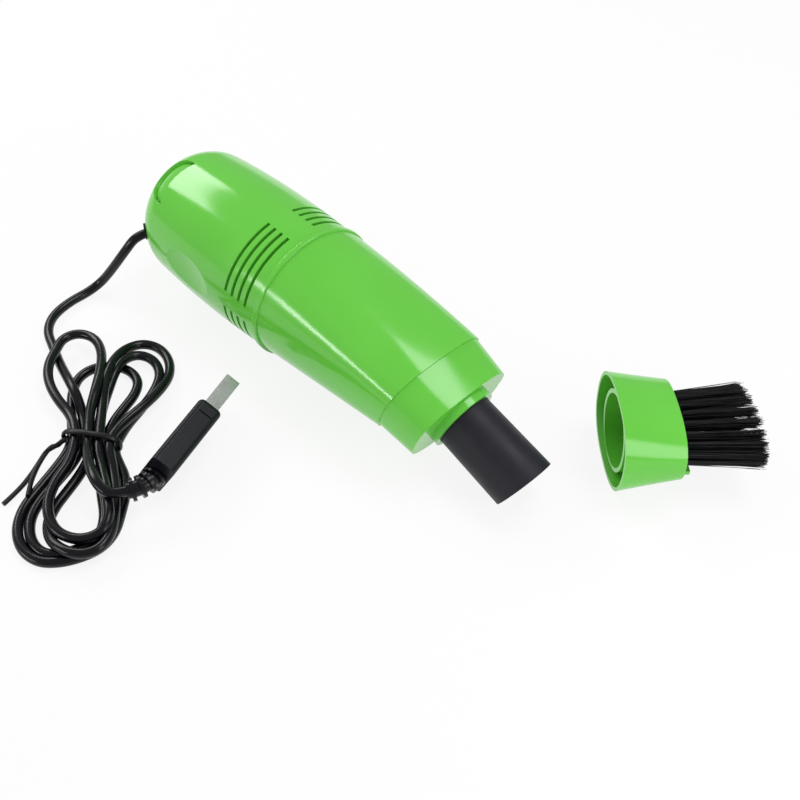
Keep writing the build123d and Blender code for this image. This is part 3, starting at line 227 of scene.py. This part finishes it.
# In millimetres
CORD_ROUTE = (
    (-87.9, -37.1, 24.0), (-91.6, -43.5, 23.7), (-94.0, -48.6, 17.5), (-98.3, -52.2, 10.0), (-102.2, -55.2, 4.0),
    (-103.6, -60.0, 1.6),
    (-103.6, -67.5, 1.6), (-101.4, -75.0, 1.6), (-96.2, -80.0, 1.6), (-88.3, -82.4, 1.6), (-79.9, -85.0, 2.0),
    (-69.3, -87.5, 4.3), (-62.9, -89.0, 4.5), (-56.7, -91.2, 2.4),
    (-49.8, -95.1, 2.3), (-44.8, -99.8, 2.3),
    (-42.6, -104.5, 1.6), (-40.3, -110.7, 1.6), (-37.6, -117.7, 1.6), (-33.4, -122.8, 1.6), (-27.1, -125.6, 1.6),
    (-21.2, -124.8, 1.6), (-18.1, -120.5, 1.6), (-16.3, -115.6, 1.6), (-17.0, -110.6, 1.6), (-21.4, -106.5, 1.6),
    (-27.8, -103.4, 1.6), (-34.2, -100.1, 1.6),
    (-38.4, -96.7, 2.3), (-43.4, -92.1, 2.3),
    (-48.5, -86.5, 1.6), (-51.0, -81.1, 1.6), (-53.5, -75.3, 1.6), (-57.3, -71.4, 1.6), (-63.1, -70.7, 1.6),
    (-68.6, -73.4, 1.6), (-72.0, -78.4, 1.6), (-71.5, -84.0, 1.6), (-67.3, -88.6, 1.6), (-60.4, -93.1, 1.6),
    (-52.7, -97.2, 2.3), (-47.8, -101.1, 2.3),
    (-45.4, -106.6, 1.6), (-42.2, -114.0, 1.6), (-39.2, -121.1, 1.6), (-33.8, -126.3, 1.6), (-27.1, -128.5, 1.6),
    (-21.0, -127.4, 1.6), (-16.9, -123.5, 1.6), (-14.2, -118.2, 1.6), (-13.1, -112.8, 1.6), (-14.9, -107.5, 1.6),
    (-19.4, -102.7, 1.6), (-23.6, -98.5, 1.6), (-28.9, -95.1, 1.6), (-34.6, -93.6, 1.6),
    (-37.9, -92.6, 2.3), (-40.6, -90.1, 2.3),
    (-44.8, -84.0, 1.6), (-47.2, -77.5, 1.6), (-50.5, -70.3, 1.6), (-55.1, -64.8, 1.8), (-61.3, -63.0, 2.2),
    (-66.1, -65.5, 3.0), (-66.0, -71.1, 4.3), (-62.7, -76.1, 4.3), (-60.3, -79.8, 2.6), (-57.0, -84.0, 1.7),
    (-46.9, -93.0, 2.3), (-41.6, -98.2, 2.3),
    (-38.4, -103.6, 1.6), (-35.8, -109.2, 1.6), (-33.3, -114.9, 1.6), (-29.6, -119.3, 1.9), (-23.1, -121.9, 3.6),
    (-16.8, -121.2, 4.6), (-12.4, -118.2, 4.6), (-10.9, -113.7, 4.6), (-13.6, -108.7, 4.4), (-18.9, -104.3, 4.2),
    (-25.8, -99.8, 3.9), (-32.7, -96.2, 4.0),
    (-37.9, -93.9, 4.9), (-41.9, -90.2, 4.9),
    (-44.3, -83.7, 4.4), (-45.6, -76.7, 4.2), (-48.6, -69.0, 3.0), (-53.0, -62.7, 1.8), (-59.3, -59.0, 1.6),
    (-65.9, -58.6, 1.7), (-70.2, -62.1, 2.4), (-70.0, -68.3, 3.8), (-66.2, -74.4, 5.4), (-61.5, -79.6, 5.6),
    (-56.2, -84.1, 4.6),
    (-46.0, -91.7, 4.9), (-39.9, -96.1, 4.9),
    (-34.4, -98.7, 4.6), (-26.6, -102.0, 5.8), (-20.4, -104.8, 6.6), (-16.0, -107.5, 6.4), (-14.4, -111.6, 5.2),
    (-16.9, -116.6, 4.7), (-22.8, -119.5, 4.7), (-29.0, -118.5, 4.8), (-34.4, -115.4, 4.8), (-38.5, -110.6, 4.7),
    (-41.3, -104.8, 4.5),
    (-45.6, -100.2, 4.9), (-50.8, -96.7, 4.9),
    (-57.3, -94.5, 4.4), (-65.1, -94.1, 4.6), (-73.0, -92.4, 4.6), (-79.3, -88.9, 4.7), (-83.5, -83.6, 4.7),
    (-86.9, -79.1, 4.5), (-85.6, -74.2, 4.5), (-80.0, -71.8, 4.6), (-72.9, -73.6, 5.2), (-65.3, -78.5, 6.4),
    (-58.9, -84.1, 7.0), (-53.9, -89.6, 5.6),
    (-48.3, -94.0, 4.9), (-42.0, -98.2, 5.6),
    (-34.1, -101.9, 8.4), (-27.5, -104.0, 9.6), (-22.5, -104.3, 9.2), (-20.0, -102.2, 8.8),
    (-18.7, -99.5, 8.8),
)
CURVE_ROUND = 5
CURVE_STEPS = 8


def round_curve(name, route, diameter):
    """Round cord on one open NURBS spline with the route's points as its control points."""
    curve = bpy.data.curves.new(name, "CURVE")
    curve.dimensions = "3D"
    curve.bevel_depth = diameter / 2
    curve.bevel_resolution = CURVE_ROUND
    curve.resolution_u = CURVE_STEPS
    curve.use_fill_caps = True
    spline = curve.splines.new("NURBS")
    spline.points.add(len(route) - 1)
    weighted = np.concatenate([route, np.ones((len(route), 1))], axis=1)
    spline.points.foreach_set("co", weighted.ravel())
    spline.order_u = 3
    spline.use_endpoint_u = True
    return linked(name, curve)


flex = round_curve("flex", np.array(CORD_ROUTE) / 1000, CORD_DIAMETER)
CORD_BLACK = (0.003, 0.003, 0.005, 1.0)
CORD_SHEEN = (0.005, 0.005, 0.008, 1.0)
cord_jacket = moulded("cord_jacket", CORD_SHEEN, CORD_BLACK, smooth=0.18, rough=0.26, bump=0.000002,
                      grain_scale=2600.0, cloud_scale=160.0)
dull(cord_jacket, 0.28)
flex.data.materials.append(cord_jacket)
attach(flex, "vacuum")
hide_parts("cable_lead", "cable_hank", "cable_tail")
dress(cord_jacket, "cable_gland", "plug_strain_relief")

# Twist tie: a flat strip of black plastic with a wire in it, wrapped once round the hank's waist.
# Its ends are twisted together and left loose.
# Sizes in millimetres, apart from the ends' diameter, and the turn in degrees
TIE_PLACE = (-44.75, -95.3, 3.85)
TIE_TURN = 35.1
TIE_HALF_WIDTH = 8.6
TIE_HALF_HEIGHT = 3.4
TIE_THICKNESS = 0.6
TIE_WIDTH = 1.7
TIE_OVAL_POWER = 3
TIE_STEPS = 64
TIE_SECTION_STEPS = 16
TIE_CORNER_POWER = 0.35
TIE_WIRE_RISE = 0.30
TIE_WIRE_SPREAD = 0.5
TIE_END_DIAMETER = 0.0014


def oval(half_width, half_height, power, steps):
    """Squarish oval at even angles: width and height, each as a share of its half size and raised to the power,
    add up to one."""
    swing = np.linspace(0, 2 * pi, steps, endpoint=False)
    share = (np.abs(np.cos(swing)) / half_width) ** power + (np.abs(np.sin(swing)) / half_height) ** power
    reach = share ** (-1 / power)
    return np.stack([reach * np.cos(swing), reach * np.sin(swing)], axis=1)


def tie_band():
    """Flat strip round a squarish oval: the strip's section is carried round the oval. It is a bar with a wire's
    bulge along its middle, which falls off as a bell curve."""
    path = oval(TIE_HALF_WIDTH, TIE_HALF_HEIGHT, TIE_OVAL_POWER, TIE_STEPS)
    along = np.roll(path, -1, axis=0) - np.roll(path, 1, axis=0)
    along /= np.linalg.norm(along, axis=1, keepdims=True)
    normals = np.stack([along[:, 1], -along[:, 0]], axis=1)
    turn = np.linspace(0, 2 * pi, TIE_SECTION_STEPS, endpoint=False)
    across = TIE_WIDTH / 2 * np.sign(np.cos(turn)) * np.abs(np.cos(turn)) ** TIE_CORNER_POWER
    bulge = TIE_WIRE_RISE * TIE_THICKNESS * np.exp(-(across / TIE_WIRE_SPREAD) ** 2)
    out = (TIE_THICKNESS / 2 + bulge) * np.sign(np.sin(turn)) * np.abs(np.sin(turn)) ** TIE_CORNER_POWER
    rings = path[:, None, :] + normals[:, None, :] * out[None, :, None]
    angle = radians(TIE_TURN)
    x = TIE_PLACE[0] + rings[..., 0] * cos(angle) - across[None, :] * sin(angle)
    y = TIE_PLACE[1] + rings[..., 0] * sin(angle) + across[None, :] * cos(angle)
    return np.stack([x, y, TIE_PLACE[2] + rings[..., 1]], axis=2) / 1000


def closed_grid(name, grid, smooth):
    """Mesh of a grid whose rows and columns close on themselves, with smooth or flat faces."""
    rows, columns = grid.shape[:2]
    index = np.arange(rows * columns).reshape(rows, columns)
    after = np.roll(index, -1, axis=0)
    corners = [index, np.roll(index, -1, axis=1), np.roll(after, -1, axis=1), after]
    quads = np.stack(corners, axis=2).reshape(-1, 4)
    mesh = bpy.data.meshes.new(name)
    mesh.from_pydata(grid.reshape(-1, 3).tolist(), [], quads.tolist())
    mesh.polygons.foreach_set("use_smooth", np.full(len(mesh.polygons), smooth))
    mesh.update()
    return linked(name, mesh)


TIE_BLACK = (0.003, 0.003, 0.004, 1.0)
TIE_GREY = (0.006, 0.006, 0.008, 1.0)
tie_cover = moulded("tie_cover", TIE_GREY, TIE_BLACK, smooth=0.30, rough=0.45, bump=0.00001, grain_scale=2200.0,
                    cloud_scale=200.0)
dull(tie_cover, 0.28)
tie = closed_grid("tie_band", tie_band(), smooth=True)
tie.data.materials.append(tie_cover)
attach(tie, "vacuum")
TIE_ENDS = (
    ((-49.8, -99.3, 4.6), (-50.1, -101.1, 4.4), (-50.2, -103.0, 4.0), (-50.8, -104.7, 3.4), (-51.4, -106.4, 2.8),
     (-50.2, -109.8, 1.6), (-48.6, -113.3, 0.9), (-46.2, -118.4, 0.8), (-44.7, -124.3, 0.8)),
    ((-48.9, -99.9, 4.4), (-50.8, -100.7, 4.2), (-49.9, -103.3, 3.8), (-51.6, -104.3, 3.2), (-51.2, -106.8, 2.6),
     (-49.5, -110.3, 1.9), (-46.2, -113.7, 2.6), (-43.1, -116.3, 3.3), (-40.1, -118.5, 3.6)))
for number, points in enumerate(TIE_ENDS):
    loose = round_curve(f"tie_end_{number + 1}", np.array(points) / 1000, TIE_END_DIAMETER)
    loose.data.materials.append(tie_cover)
    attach(loose, "vacuum")
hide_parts("twist_tie")

# Plug: a black overmould with a matt skin, moulded round a plated steel shell and a ribbed relief on the cord.
# A white board with gilt contacts is pressed into the shell.
PLUG_BLACK = (0.004, 0.005, 0.008, 1.0)
PLUG_GREY = (0.006, 0.007, 0.011, 1.0)
plug_skin = moulded("plug_skin", PLUG_GREY, PLUG_BLACK, smooth=0.34, rough=0.46, bump=0.000012,
                    grain_scale=2000.0, cloud_scale=140.0)
dull(plug_skin, 0.24)
dress(plug_skin, "plug_body")
PLATING_BUMP = 0.000002
PLATING_CLOUDS = 1 / 8


def plated(name, light, deep, smooth, rough, scale):
    """Plated metal: a fine noise clouds its colour and its gloss."""
    material = moulded(name, light, deep, smooth, rough, PLATING_BUMP, scale, scale * PLATING_CLOUDS)
    material.node_tree.nodes["Principled BSDF"].inputs["Metallic"].default_value = 1.0
    return material


plug_steel = plated("plug_steel", (0.33, 0.34, 0.33, 1.0), (0.28, 0.29, 0.28, 1.0), smooth=0.26, rough=0.32,
                    scale=1500.0)
dress(plug_steel, "plug_shell")
board_white = moulded("board_white", (0.80, 0.80, 0.78, 1.0), (0.72, 0.72, 0.70, 1.0), smooth=0.4, rough=0.5,
                      bump=0.00001, grain_scale=2000.0, cloud_scale=200.0)
dress(board_white, "plug_tongue")
contact_gold = plated("contact_gold", (0.90, 0.66, 0.28, 1.0), (0.80, 0.55, 0.20, 1.0), smooth=0.15, rough=0.25,
                      scale=2000.0)
dress(contact_gold, "plug_contacts")

# Brush bristles: black nylon strands, a little bent and cut nearly even.
# They stand in tufts on an oval plate, which is set into the cup's floor.
# Sizes in millimetres; the slant, the leans and the taper are shares
BRUSH_MOUTH = np.array((59.95, 6.23, 13.8))
BRUSH_YAW = radians(49.0)
CUP_LENGTH = 17.1
TUFT_RINGS = ((11.2, 5.2, 20), (8.4, 2.9, 12))
TUFT_STRANDS = 84
TUFT_SPREAD = 1.05
STRAND_RADIUS = 0.085
BRISTLE_LENGTH = 22.3
BRISTLE_SLANT = 0.04
BRISTLE_APEX = 150.0
BRISTLE_SINK = 0.4
LENGTH_SCATTER = 0.35
LEAN_SCATTER = 0.012
BEND_SCATTER = 0.35
STRAND_LEVELS = 6
STRAND_TAPER = 0.35
BRISTLE_SEED = 7


def brush_place(across, up, along):
    """Points in metres from distances across, up and along the brush from the middle of its mouth."""
    forward = np.array((cos(BRUSH_YAW), sin(BRUSH_YAW), 0.0))
    sideways = np.array((-sin(BRUSH_YAW), cos(BRUSH_YAW), 0.0))
    rise = np.array((0.0, 0.0, 1.0))
    place = BRUSH_MOUTH + along[..., None] * forward + across[..., None] * sideways + up[..., None] * rise
    return place / 1000


def bristle_grid():
    """Strands as four-sided tapering tubes: each starts in a tuft's disc and goes straight along its lean, plus
    a bend that grows with the square of the height, all from seeded noise."""
    noise = np.random.default_rng(BRISTLE_SEED)
    roots = []
    for ring, (half_width, half_height, count) in enumerate(TUFT_RINGS):
        swing = 2 * pi * (np.arange(count) + ring / 2) / count
        centre = np.stack([half_width * np.cos(swing), half_height * np.sin(swing)], axis=1)
        spread = TUFT_SPREAD * np.sqrt(noise.random((count, TUFT_STRANDS)))
        turn = 2 * pi * noise.random((count, TUFT_STRANDS))
        offset = np.stack([spread * np.cos(turn), spread * np.sin(turn)], axis=2)
        roots.append((centre[:, None, :] + offset).reshape(-1, 2))
    roots = np.concatenate(roots)
    total = len(roots)
    length = BRISTLE_LENGTH - BRISTLE_SLANT * roots[:, 0] + noise.normal(0, LENGTH_SCATTER, total)
    lean = roots / BRISTLE_APEX + noise.normal(0, LEAN_SCATTER, (total, 2))
    bend = noise.normal(0, BEND_SCATTER, (total, 2))
    height = np.linspace(0, 1, STRAND_LEVELS)
    middle = (roots[:, None, :] + lean[:, None, :] * (length[:, None] * height)[:, :, None]
              + bend[:, None, :] * (height ** 2)[None, :, None])
    along = CUP_LENGTH - BRISTLE_SINK + length[:, None] * height[None, :]
    corner = pi / 4 + pi / 2 * np.arange(4)
    thick = STRAND_RADIUS * (1 - STRAND_TAPER * height)
    ring = np.stack([np.cos(corner), np.sin(corner)], axis=1)
    across = middle[:, :, None, :] + thick[None, :, None, None] * ring[None, None, :, :]
    return brush_place(across[..., 0], across[..., 1], np.broadcast_to(along[:, :, None], across.shape[:3]))


def strand_mesh(name, grid):
    """Mesh of many four-sided strands, each closed at its root and its tip."""
    strands, levels, sides = grid.shape[:3]
    index = np.arange(strands * levels * sides).reshape(strands, levels, sides)
    low = index[:, :-1]
    high = index[:, 1:]
    walls = np.stack([low, np.roll(low, -1, axis=2), np.roll(high, -1, axis=2), high], axis=3).reshape(-1, 4)
    tips = index[:, -1].reshape(-1, 4)
    roots = index[:, 0, ::-1].reshape(-1, 4)
    mesh = bpy.data.meshes.new(name)
    mesh.from_pydata(grid.reshape(-1, 3).tolist(), [], np.concatenate([walls, tips, roots]).tolist())
    mesh.update()
    return linked(name, mesh)


bristles = strand_mesh("bristles", bristle_grid())
bristle_nylon = moulded("bristle_nylon", (0.008, 0.008, 0.010, 1.0), (0.003, 0.003, 0.004, 1.0), smooth=0.30,
                        rough=0.45, bump=0.000004, grain_scale=3000.0, cloud_scale=300.0)
dull(bristle_nylon, 0.30)
bristles.data.materials.append(bristle_nylon)
PLATE_HALF_SIZES = (12.6, 6.6)
SLOT_HALF_SIZES = (5.6, 1.3)
PLATE_THICKNESS = 2.0
PLATE_POWER = 2.4
PLATE_STEPS = 72


def plate_grid():
    """Oval plate with an oval slot: a four-cornered section is carried round both outlines at even angles."""
    rim = oval(*PLATE_HALF_SIZES, PLATE_POWER, PLATE_STEPS)
    hole = oval(*SLOT_HALF_SIZES, PLATE_POWER, PLATE_STEPS)
    section = np.stack([rim, rim, hole, hole], axis=1)
    height = np.broadcast_to(CUP_LENGTH - PLATE_THICKNESS * np.array([1.0, 0.0, 0.0, 1.0]), section.shape[:2])
    return brush_place(section[..., 0], section[..., 1], height)


tuft_plate = closed_grid("tuft_plate", plate_grid(), smooth=False)
tuft_plate.data.materials.append(bristle_nylon)
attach(tuft_plate, "brush")
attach(bristles, "brush")
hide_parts("brush_bristles")

# Inside the housing: a steel motor is screwed to its plastic bracket, with the fan on its shaft, and red wires
# join it to the lead and the switch. Screws from below hold the halves. A felt filter sits in the dust chamber.
motor_steel = plated("motor_steel", (0.60, 0.61, 0.62, 1.0), (0.50, 0.51, 0.52, 1.0), smooth=0.25, rough=0.40,
                     scale=700.0)
dress(motor_steel, "motor_can")
shaft_steel = plated("shaft_steel", (0.66, 0.67, 0.68, 1.0), (0.58, 0.59, 0.60, 1.0), smooth=0.15, rough=0.25,
                     scale=1500.0)
dress(shaft_steel, "motor_shaft")
screw_steel = plated("screw_steel", (0.52, 0.53, 0.54, 1.0), (0.42, 0.43, 0.44, 1.0), smooth=0.28, rough=0.42,
                     scale=1200.0)
dress(screw_steel, "motor_screws", "housing_screws")
terminal_brass = plated("terminal_brass", (0.80, 0.66, 0.34, 1.0), (0.70, 0.56, 0.26, 1.0), smooth=0.2,
                        rough=0.35, scale=1500.0)
dress(terminal_brass, "motor_terminals")
dark_plastic = moulded("dark_plastic", (0.055, 0.055, 0.060, 1.0), (0.040, 0.040, 0.044, 1.0), smooth=0.38,
                       rough=0.5, bump=0.00001, grain_scale=1500.0, cloud_scale=80.0)
dress(dark_plastic, "motor_end_cap", "switch_body", "motor_bracket", "filter_frame", "switch_plunger")
fan_plastic = moulded("fan_plastic", (0.80, 0.80, 0.77, 1.0), (0.72, 0.72, 0.69, 1.0), smooth=0.35, rough=0.45,
                      bump=0.00001, grain_scale=1500.0, cloud_scale=80.0)
dress(fan_plastic, "impeller")
filter_felt = moulded("filter_felt", (0.84, 0.84, 0.82, 1.0), (0.66, 0.66, 0.63, 1.0), smooth=0.85, rough=0.95,
                      bump=0.00025, grain_scale=1100.0, cloud_scale=900.0)
dress(filter_felt, "filter_pad")
wire_jacket = moulded("wire_jacket", (0.52, 0.03, 0.02, 1.0), (0.42, 0.02, 0.015, 1.0), smooth=0.35, rough=0.5,
                      bump=0.00001, grain_scale=2500.0, cloud_scale=150.0)
dress(wire_jacket, "power_wires")
